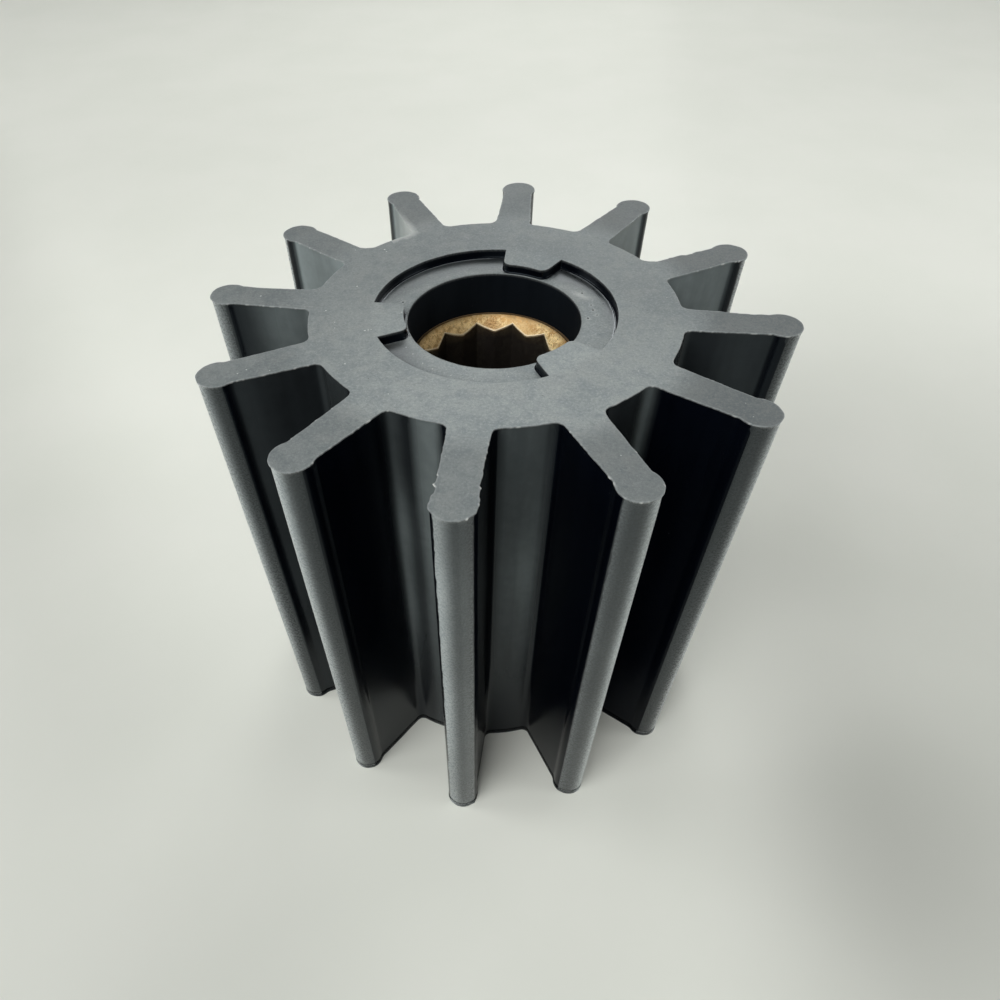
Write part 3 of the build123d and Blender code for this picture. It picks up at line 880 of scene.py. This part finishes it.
class Tree:
    def __init__(self, nt):
        self.nt = nt

    def node(self, kind, **props):
        n = self.nt.nodes.new(kind)
        for k, v in props.items():
            setattr(n, k, v)
        return n

    def link(self, a, b):
        self.nt.links.new(a, b)

    def put(self, socket, value):
        if isinstance(value, bpy.types.NodeSocket):
            self.link(value, socket)
        else:
            socket.default_value = value

    def math(self, op, a, b=0.0, c=0.0, clamp=False):
        n = self.node("ShaderNodeMath", operation=op, use_clamp=clamp)
        self.put(n.inputs[0], a)
        self.put(n.inputs[1], b)
        if len(n.inputs) > 2:
            self.put(n.inputs[2], c)
        return n.outputs[0]

    def range(self, v, a, b, c=0.0, d=1.0, smoothed=True):
        n = self.node("ShaderNodeMapRange")
        n.interpolation_type = "SMOOTHSTEP" if smoothed else "LINEAR"
        n.clamp = True
        self.put(n.inputs["Value"], v)
        self.put(n.inputs["From Min"], a)
        self.put(n.inputs["From Max"], b)
        self.put(n.inputs["To Min"], c)
        self.put(n.inputs["To Max"], d)
        return n.outputs["Result"]

    def mix(self, f, a, b):
        n = self.node("ShaderNodeMix", data_type="RGBA", blend_type="MIX", clamp_factor=True)
        self.put(n.inputs[0], f)
        self.put(n.inputs[6], a)
        self.put(n.inputs[7], b)
        return n.outputs[2]

    def mixv(self, f, a, b):
        n = self.node("ShaderNodeMix", data_type="FLOAT", clamp_factor=True)
        self.put(n.inputs[0], f)
        self.put(n.inputs[2], a)
        self.put(n.inputs[3], b)
        return n.outputs[0]

    def noise(self, vec, scale, detail=4.0, rough=0.55, distort=0.0):
        n = self.node("ShaderNodeTexNoise", noise_dimensions="3D")
        self.put(n.inputs["Vector"], vec)
        n.inputs["Scale"].default_value = scale
        n.inputs["Detail"].default_value = detail
        n.inputs["Roughness"].default_value = rough
        n.inputs["Distortion"].default_value = distort
        return n.outputs["Fac"]

    def attr(self, name):
        n = self.node("ShaderNodeAttribute", attribute_type="GEOMETRY", attribute_name=name)
        return n.outputs["Fac"]

    def mm(self):
        """Object coordinates in millimetres."""
        tc = self.node("ShaderNodeTexCoord")
        n = self.node("ShaderNodeVectorMath", operation="SCALE")
        self.link(tc.outputs["Object"], n.inputs[0])
        n.inputs["Scale"].default_value = 1000.0
        return n.outputs[0]

    def stretch(self, vec, sx, sy, sz):
        n = self.node("ShaderNodeVectorMath", operation="MULTIPLY")
        self.link(vec, n.inputs[0])
        n.inputs[1].default_value = (sx, sy, sz)
        return n.outputs[0]

    def specks(self, vec, cell, radius, share, seed):
        """Small round spots: one in some cells of a grid, each of its own size."""
        v = self.node("ShaderNodeTexVoronoi", voronoi_dimensions="3D", feature="F1")
        off = self.node("ShaderNodeVectorMath", operation="ADD")
        self.link(vec, off.inputs[0])
        off.inputs[1].default_value = (seed * 13.7, seed * 7.1, seed * 3.3)
        self.link(off.outputs[0], v.inputs["Vector"])
        v.inputs["Scale"].default_value = 1.0 / cell
        v.inputs["Randomness"].default_value = 1.0
        sep = self.node("ShaderNodeSeparateColor")
        self.link(v.outputs["Color"], sep.inputs[0])
        chosen = self.math("LESS_THAN", sep.outputs[0], share)
        size = self.math("MULTIPLY_ADD", sep.outputs[1], 0.7, 0.3)
        edge = self.math("MULTIPLY", size, radius / cell)
        hit = self.range(v.outputs["Distance"], self.math("MULTIPLY", edge, 0.5), edge, 1.0, 0.0)
        return self.math("MULTIPLY", chosen, hit)

    def bump(self, height, strength, distance_mm, normal=None):
        n = self.node("ShaderNodeBump")
        n.inputs["Strength"].default_value = strength
        n.inputs["Distance"].default_value = distance_mm * MM
        self.link(height, n.inputs["Height"])
        if normal is not None:
            self.link(normal, n.inputs["Normal"])
        return n.outputs["Normal"]

    def surface(self, color, rough, normal, **fixed):
        b = self.node("ShaderNodeBsdfPrincipled")
        self.put(b.inputs["Base Color"], color)
        self.put(b.inputs["Roughness"], rough)
        if normal is not None:
            self.link(normal, b.inputs["Normal"])
        for k, v in fixed.items():
            b.inputs[k].default_value = v
        out = self.node("ShaderNodeOutputMaterial")
        self.link(b.outputs[0], out.inputs["Surface"])
        return b


def rubber_material(name, ior, **more):
    m, nt = material(name)
    t = Tree(nt)
    p = t.mm()
    dust, rim, band, film = t.attr("dust"), t.attr("rim"), t.attr("band"), t.attr("film")
    dull, tone = t.attr("dull"), t.attr("tone")
    pale, dark, line, dust_bloom_and_light = t.attr("pale"), t.attr("dark"), t.attr("line"), t.attr("dust_bloom_and_light")
    big = t.noise(p, 0.07, 4.0, 0.55, 0.4)
    mid = t.noise(p, 0.42, 5.0, 0.6, 0.2)
    fine = t.noise(p, 2.6, 4.0, 0.6)
    grain = t.noise(p, 9.0, 2.0, 0.5)
    soft = t.noise(t.stretch(p, 1.0, 1.0, 0.12), 0.35, 3.0, 0.5)
    # end faces: dusty grey, mottled
    blotch = t.math("ADD", t.math("MULTIPLY", big, 0.45), t.math("MULTIPLY", mid, 0.55))
    top = t.mix(t.range(blotch, 0.38, 0.62), (0.168, 0.190, 0.190, 1), (0.238, 0.260, 0.252, 1))
    warm = t.noise(p, 0.16, 3.0, 0.6, 0.8)
    top = t.mix(t.range(warm, 0.48, 0.66, 0.0, 0.45), top, (0.254, 0.268, 0.254, 1))
    fleck = t.noise(p, 1.3, 3.0, 0.60)
    top = t.mix(t.range(fleck, 0.50, 0.70, 0.0, 0.22), top, (0.310, 0.330, 0.316, 1))
    top = t.mix(t.range(fleck, 0.46, 0.30, 0.0, 0.22), top, (0.105, 0.124, 0.128, 1))
    top = t.mix(t.range(fine, 0.48, 0.68, 0.0, 0.40), top, (0.320, 0.342, 0.328, 1))
    top = t.mix(t.range(fine, 0.46, 0.28, 0.0, 0.28), top, (0.100, 0.118, 0.121, 1))
    top = t.mix(t.range(grain, 0.62, 0.38, 0.0, 0.32), top, (0.085, 0.100, 0.104, 1))
    top = t.mix(t.range(grain, 0.66, 0.80, 0.0, 0.40), top, (0.480, 0.500, 0.480, 1))
    # faint scuffs
    scuff = t.math("MULTIPLY", t.range(t.noise(t.stretch(p, 0.25, 2.2, 1.0), 0.9, 3.0, 0.7), 0.60, 0.68),
                   t.range(mid, 0.50, 0.62))
    top = t.mix(t.math("MULTIPLY", scuff, 0.30), top, (0.10, 0.115, 0.12, 1))
    # the end faces' colour is scaled by the dust bloom and its painted light
    shade = t.node("ShaderNodeVectorMath", operation="SCALE")
    t.link(top, shade.inputs[0])
    t.link(dust_bloom_and_light, shade.inputs["Scale"])
    top = shade.outputs[0]
    # moulded walls: near black under a thin uneven film of dust and painted sheen
    wall = t.mix(t.range(soft, 0.35, 0.65), (0.0006, 0.0011, 0.0026, 1), (0.0012, 0.0019, 0.0038, 1))
    sheen_veil = t.math("MULTIPLY", film, t.range(t.math("ADD", t.math("MULTIPLY", soft, 0.6), t.math("MULTIPLY", mid, 0.4)), 0.35, 0.65, 0.85, 1.1))
    wall = t.mix(sheen_veil, wall, (0.240, 0.280, 0.280, 1))
    # ground outer faces of the tips
    ragged = t.math("ADD", band, t.math("MULTIPLY", t.math("SUBTRACT", t.noise(t.stretch(p, 1.0, 1.0, 0.55), 1.7, 4.0, 0.65), 0.5), 0.20))
    on_band = t.range(ragged, 0.47, 0.56)
    ground = t.mix(t.range(t.noise(t.stretch(p, 1.0, 1.0, 0.35), 0.8, 5.0, 0.65), 0.33, 0.68), (0.0365, 0.041, 0.042, 1), (0.0435, 0.048, 0.048, 1))
    ground = t.mix(t.range(fine, 0.46, 0.68, 0.0, 0.07), ground, (0.086, 0.094, 0.093, 1))
    ground = t.mix(t.range(grain, 0.62, 0.36, 0.0, 0.10), ground, (0.014, 0.017, 0.019, 1))
    # the ground faces' colour is scaled by their tone and painted light
    toned = t.node("ShaderNodeVectorMath", operation="SCALE")
    t.link(ground, toned.inputs[0])
    t.link(tone, toned.inputs["Scale"])
    col = t.mix(on_band, wall, toned.outputs[0])
    col = t.mix(dust, col, top)
    col = t.mix(t.math("MULTIPLY", rim, t.range(fine, 0.35, 0.65, 0.40, 0.75)), col, (0.27, 0.288, 0.285, 1))
    # painted highlight: the crest of the bead at the foot of the recess wall is painted pale
    col = t.mix(t.math("MULTIPLY", line, 0.9), col, (0.22, 0.24, 0.25, 1))
    # dust specks, mostly on the end faces, and a few dark pinholes there
    white = t.specks(p, 3.2, 0.15, 0.22, 1)
    tiny = t.specks(p, 1.3, 0.08, 0.15, 2)
    on_face = t.math("MULTIPLY_ADD", dust, 0.90, 0.10)
    spot = t.math("MULTIPLY", t.math("MAXIMUM", white, t.math("MULTIPLY", tiny, 0.6)), on_face)
    spot = t.math("MAXIMUM", t.math("MULTIPLY", spot, 0.75), pale)
    col = t.mix(spot, col, (0.62, 0.64, 0.61, 1))
    hole = t.math("MULTIPLY", t.specks(p, 5.0, 0.17, 0.10, 3), dust)
    hole = t.math("MAXIMUM", t.math("MULTIPLY", hole, 0.8), dark)
    col = t.mix(hole, col, (0.012, 0.014, 0.016, 1))
    rough = t.mixv(dust, t.mixv(on_band, t.range(film, 0.0, 1.0, 0.23, 0.36), t.range(fine, 0.3, 0.7, 0.25, 0.30)),
                   t.range(mid, 0.3, 0.7, 0.58, 0.72))
    rough = t.mixv(dull, rough, 0.85)
    n = t.bump(mid, 0.14, 0.04)
    n = t.bump(t.math("MULTIPLY", fine, t.math("MULTIPLY_ADD", dust, 0.86, 0.14)), 0.30, 0.018, n)
    n = t.bump(t.math("MULTIPLY", grain, t.math("MULTIPLY_ADD", dust, 0.95, 0.05)), 0.5, 0.014, n)
    t.surface(col, rough, n, IOR=ior, **{"Specular Tint": (0.82, 0.94, 1.0, 1.0), **more})
    return m


def brass_material():
    m, nt = material("dulled_brass")
    t = Tree(nt)
    p = t.mm()
    big = t.noise(p, 0.30, 4.0, 0.6, 0.6)
    mid = t.noise(p, 1.2, 5.0, 0.65, 0.3)
    fine = t.noise(p, 5.0, 4.0, 0.65)
    ringm = t.attr("ringmask")
    rim = t.attr("rim")
    small = t.noise(p, 2.6, 4.0, 0.7)
    patch = t.math("ADD", t.math("MULTIPLY", big, 0.20), t.math("ADD", t.math("MULTIPLY", mid, 0.50), t.math("MULTIPLY", small, 0.30)))
    sep = t.node("ShaderNodeSeparateXYZ")
    t.link(p, sep.inputs[0])
    out = t.math("SQRT", t.math("ADD", t.math("MULTIPLY", sep.outputs[0], sep.outputs[0]), t.math("MULTIPLY", sep.outputs[1], sep.outputs[1])))
    # a stained place at the far side, ragged at the edge
    far = t.math("SUBTRACT", sep.outputs[0], -1.3)
    far_y = t.math("SUBTRACT", sep.outputs[1], 11.4)
    far = t.math("SQRT", t.math("ADD", t.math("MULTIPLY", far, far), t.math("MULTIPLY", far_y, far_y)))
    far = t.range(t.math("ADD", far, t.math("MULTIPLY", t.math("SUBTRACT", mid, 0.5), 2.4)), 2.5, 0.9, 0.0, 1.0)
    stain = t.math("MULTIPLY", far, 0.85)
    base = t.mix(t.range(patch, 0.43, 0.56), (0.50, 0.29, 0.095, 1), (1.0, 0.80, 0.42, 1))
    base = t.mix(t.range(fine, 0.54, 0.68, 0.0, 0.45), base, (0.30, 0.165, 0.060, 1))
    base = t.mix(t.range(fine, 0.46, 0.36, 0.0, 0.50), base, (1.0, 0.94, 0.74, 1))
    base = t.mix(t.range(small, 0.54, 0.63, 0.0, 0.75), base, (0.30, 0.165, 0.06, 1))
    # painted light: paler on the left, with brown blotches there; painted shade: duller right of the far side
    base = t.mix(t.range(sep.outputs[0], -1.5, -6.0, 0.0, 0.45), base, (1.0, 0.74, 0.35, 1))
    base = t.mix(t.math("MULTIPLY", t.range(sep.outputs[0], -1.0, 2.0), t.range(sep.outputs[0], 8.0, 5.0, 0.0, 0.62)), base, (0.46, 0.29, 0.12, 1))
    base = t.mix(t.math("MULTIPLY", t.range(patch, 0.50, 0.44), t.range(sep.outputs[0], -1.0, -5.0, 0.0, 0.55)), base, (0.46, 0.26, 0.08, 1))
    base = t.mix(stain, base, t.mix(t.range(fine, 0.42, 0.60), (0.56, 0.35, 0.15, 1), (0.22, 0.120, 0.045, 1)))
    # browner towards the outside
    out = t.math("ADD", out, t.math("MULTIPLY", t.math("SUBTRACT", mid, 0.5), 1.6))
    base = t.mix(t.range(out, 12.9, 13.5, 0.0, 0.55), base, (0.27, 0.150, 0.052, 1))
    dark = t.specks(p, 0.7, 0.12, 0.30, 5)
    base = t.mix(t.math("MULTIPLY", dark, 0.8), base, (0.06, 0.035, 0.018, 1))
    base = t.mix(t.math("MULTIPLY", rim, 0.75), base, (1.0, 0.92, 0.70, 1))
    base = t.mix(t.math("MULTIPLY", t.attr("ledge"), 0.9), base, (0.40, 0.27, 0.15, 1))
    base = t.mix(t.math("MULTIPLY", ringm, 0.9), base, (0.09, 0.055, 0.025, 1))
    # painted shade: inside the spline the wall is painted dark
    deep = t.attr("deep")
    base = t.mix(t.math("MULTIPLY", deep, 0.96), base, (0.030, 0.029, 0.030, 1))
    rough = t.range(mid, 0.3, 0.7, 0.48, 0.62)
    n = t.bump(mid, 0.35, 0.05)
    n = t.bump(fine, 0.45, 0.03, n)
    t.surface(base, rough, n, Metallic=0.80)
    return m


rubber.data.materials.append(rubber_material("moulded_black_rubber", 1.26, **{
    "Specular Tint": (0.74, 0.90, 1.0, 1.0)}))
rubber.data.materials.append(rubber_material("dusty_rubber_end_face", 1.5))
rubber.data.materials.append(rubber_material("ground_tip_faces", 1.50, **{
    "Sheen Weight": 0.42, "Sheen Roughness": 0.32, "Sheen Tint": (0.90, 0.94, 0.94, 1.0)}))
flat = np.zeros(len(rubber.data.polygons) * 3, np.float32)
rubber.data.polygons.foreach_get("normal", flat)
on_end = np.abs(flat[2::3]) > 0.72
band_at = np.zeros(len(rubber.data.vertices), np.float32)
rubber.data.attributes["band"].data.foreach_get("value", band_at)
corner = np.zeros(len(rubber.data.loops), np.int32)
rubber.data.loops.foreach_get("vertex_index", corner)
first = np.zeros(len(rubber.data.polygons), np.int32)
rubber.data.polygons.foreach_get("loop_start", first)
on_tip_face = np.minimum.reduceat(band_at[corner], first) > 0.38
dull_at = np.zeros(len(rubber.data.vertices), np.float32)
rubber.data.attributes["dull"].data.foreach_get("value", dull_at)
in_bore = np.minimum.reduceat(dull_at[corner], first) > 0.5
quiet_at = np.zeros(len(rubber.data.vertices), np.float32)
rubber.data.attributes["quiet"].data.foreach_get("value", quiet_at)
in_quiet = np.minimum.reduceat(quiet_at[corner], first) > 0.5
rubber.data.materials.append(rubber_material("moulded_bore_wall", 1.17, **{
    "Specular Tint": (0.55, 0.80, 1.0, 1.0)}))
rubber.data.materials.append(rubber_material("moulded_dull_wall", 1.14, **{
    "Specular Tint": (0.74, 0.90, 1.0, 1.0)}))
rubber.data.polygons.foreach_set("material_index", np.where(on_end, 1, np.where(on_tip_face, 2, np.where(in_bore, 3, np.where(in_quiet, 4, 0)))).astype(np.int32))
insert.data.materials.append(brass_material())
for piece, node, slot in ((rubber, "rubber_body", "rubber"), (insert, "splined_hub_insert", "brass")):
    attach(piece, "root")
    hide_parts(node)

# ------------------------------------------------------------------ floor, light and camera
floor_me = bpy.data.meshes.new("floor")
floor_me.from_pydata([(-4, -4, 0), (4, -4, 0), (4, 4, 0), (-4, 4, 0)], [], [(0, 1, 2, 3)])
floor = bpy.data.objects.new("floor", floor_me)
scene.collection.objects.link(floor)
fm, fnt = material("pale_floor")
ft = Tree(fnt)
fp = ft.mm()
fcol = ft.mix(ft.range(ft.noise(fp, 0.02, 4.0, 0.5), 0.3, 0.7), (0.792, 0.816, 0.740, 1), (0.817, 0.836, 0.764, 1))
# painted shadow: the board is darker towards the front and the right, and a little darker far back to the left
fsep = ft.node("ShaderNodeSeparateXYZ")
ft.link(fp, fsep.inputs[0])
fx, fy = fsep.outputs[0], fsep.outputs[1]
right_shadow = ft.math("MULTIPLY", ft.range(fx, 40.0, 92.0), ft.range(fy, 200.0, 70.0, 0.2, 1.0))
dx, dy = ft.math("SUBTRACT", fx, 84.0), ft.math("ADD", fy, 46.0)
near = ft.math("SQRT", ft.math("MULTIPLY_ADD", dx, dx, ft.math("MULTIPLY", dy, dy)))
front_right_shadow = ft.range(near, 60.0, 2.0)
front_left_shade = ft.range(ft.math("MULTIPLY_ADD", fy, -0.8, ft.math("MULTIPLY", fx, -1.0)), 55.0, 135.0)
far = ft.range(ft.math("MULTIPLY_ADD", fx, -0.5, fy), 120.0, 420.0)
tone = ft.math("SUBTRACT", 1.0, ft.math("MULTIPLY", right_shadow, 0.23))
tone = ft.math("SUBTRACT", tone, ft.math("MULTIPLY", front_right_shadow, 0.20))
tone = ft.math("SUBTRACT", tone, ft.math("MULTIPLY", front_left_shade, 0.17))
tone = ft.math("SUBTRACT", tone, ft.math("MULTIPLY", far, 0.11))
fsc = ft.node("ShaderNodeVectorMath", operation="SCALE")
ft.link(fcol, fsc.inputs[0])
ft.link(tone, fsc.inputs["Scale"])
fcol = fsc.outputs[0]
ft.surface(fcol, 0.55, None)
floor_me.materials.append(fm)

world = bpy.data.worlds.new("studio")
scene.world = world
world.use_nodes = True
wnt = world.node_tree
wnt.nodes.clear()
wt = Tree(wnt)
wtc = wt.node("ShaderNodeTexCoord")
wsep = wt.node("ShaderNodeSeparateXYZ")
wt.link(wtc.outputs["Generated"], wsep.inputs[0])
wcol = wt.mix(wt.range(wsep.outputs[2], -0.05, 0.9), (0.80, 0.82, 0.83, 1), (0.98, 0.985, 1.0, 1))
bg = wt.node("ShaderNodeBackground")
wt.link(wcol, bg.inputs["Color"])
# brighter low down at the back, as in a room with pale walls
back_low = wt.math("MULTIPLY", wt.range(wsep.outputs[1], 0.0, 0.8), wt.range(wsep.outputs[2], 0.75, 0.25))
wt.link(wt.math("MULTIPLY_ADD", back_low, 0.10, 0.03), bg.inputs["Strength"])
wout = wt.node("ShaderNodeOutputWorld")
wt.link(bg.outputs[0], wout.inputs["Surface"])


def area(name, pos, target, size, power, color=(1, 1, 1)):
    d = bpy.data.lights.new(name, "AREA")
    d.shape = "DISK"
    d.size = size
    d.energy = power
    d.color = color
    o = bpy.data.objects.new(name, d)
    scene.collection.objects.link(o)
    o.location = pos
    o.rotation_euler = (Vector(target) - Vector(pos)).to_track_quat("-Z", "Y").to_euler()
    return o


def around(azimuth, elevation, distance):
    a, e = math.radians(azimuth), math.radians(elevation)
    return (distance * math.cos(e) * math.cos(a), distance * math.cos(e) * math.sin(a), distance * math.sin(e))


area("soft_key", around(240, 48, 2.5), (0.0, 0.0, 0.03), 2.3, 49.5)
area("soft_left", around(180, 20, 2.5), (0.0, 0.0, 0.03), 1.2, 22.5)
area("soft_right", around(0, 20, 2.5), (0.0, 0.0, 0.03), 1.2, 13.5)
area("soft_front", around(270, 20, 2.5), (0.0, 0.0, 0.03), 1.2, 8.5)
area("soft_corner", around(45, 20, 2.5), (0.0, 0.0, 0.03), 1.2, 8.4)
area("soft_back", (0.0, 0.70, 0.57), (0.0, 0.0, 0.05), 0.45, 2.3)

cam_d = bpy.data.cameras.new("camera")
cam_d.sensor_width = 36.0
cam_d.sensor_fit = "HORIZONTAL"
cam_d.lens = 25.6939
cam_d.shift_x = 0.047660
cam_d.shift_y = 0.084509
cam_d.clip_start = 0.005
cam_d.clip_end = 50.0
cam = bpy.data.objects.new("camera", cam_d)
scene.collection.objects.link(cam)
right = Vector((0.98905534, 0.14552175, -0.02435072))
back = Vector((0.11015142, -0.61846163, 0.77805647))
up = back.cross(right).normalized()
right = up.cross(back).normalized()
cam.matrix_world = Matrix((
    (right.x, up.x, back.x, 0.01030903),
    (right.y, up.y, back.y, -0.10575820),
    (right.z, up.z, back.z, 0.14935273),
    (0, 0, 0, 1)))
scene.camera = cam

scene.view_settings.view_transform = "Standard"
scene.view_settings.look = "None"
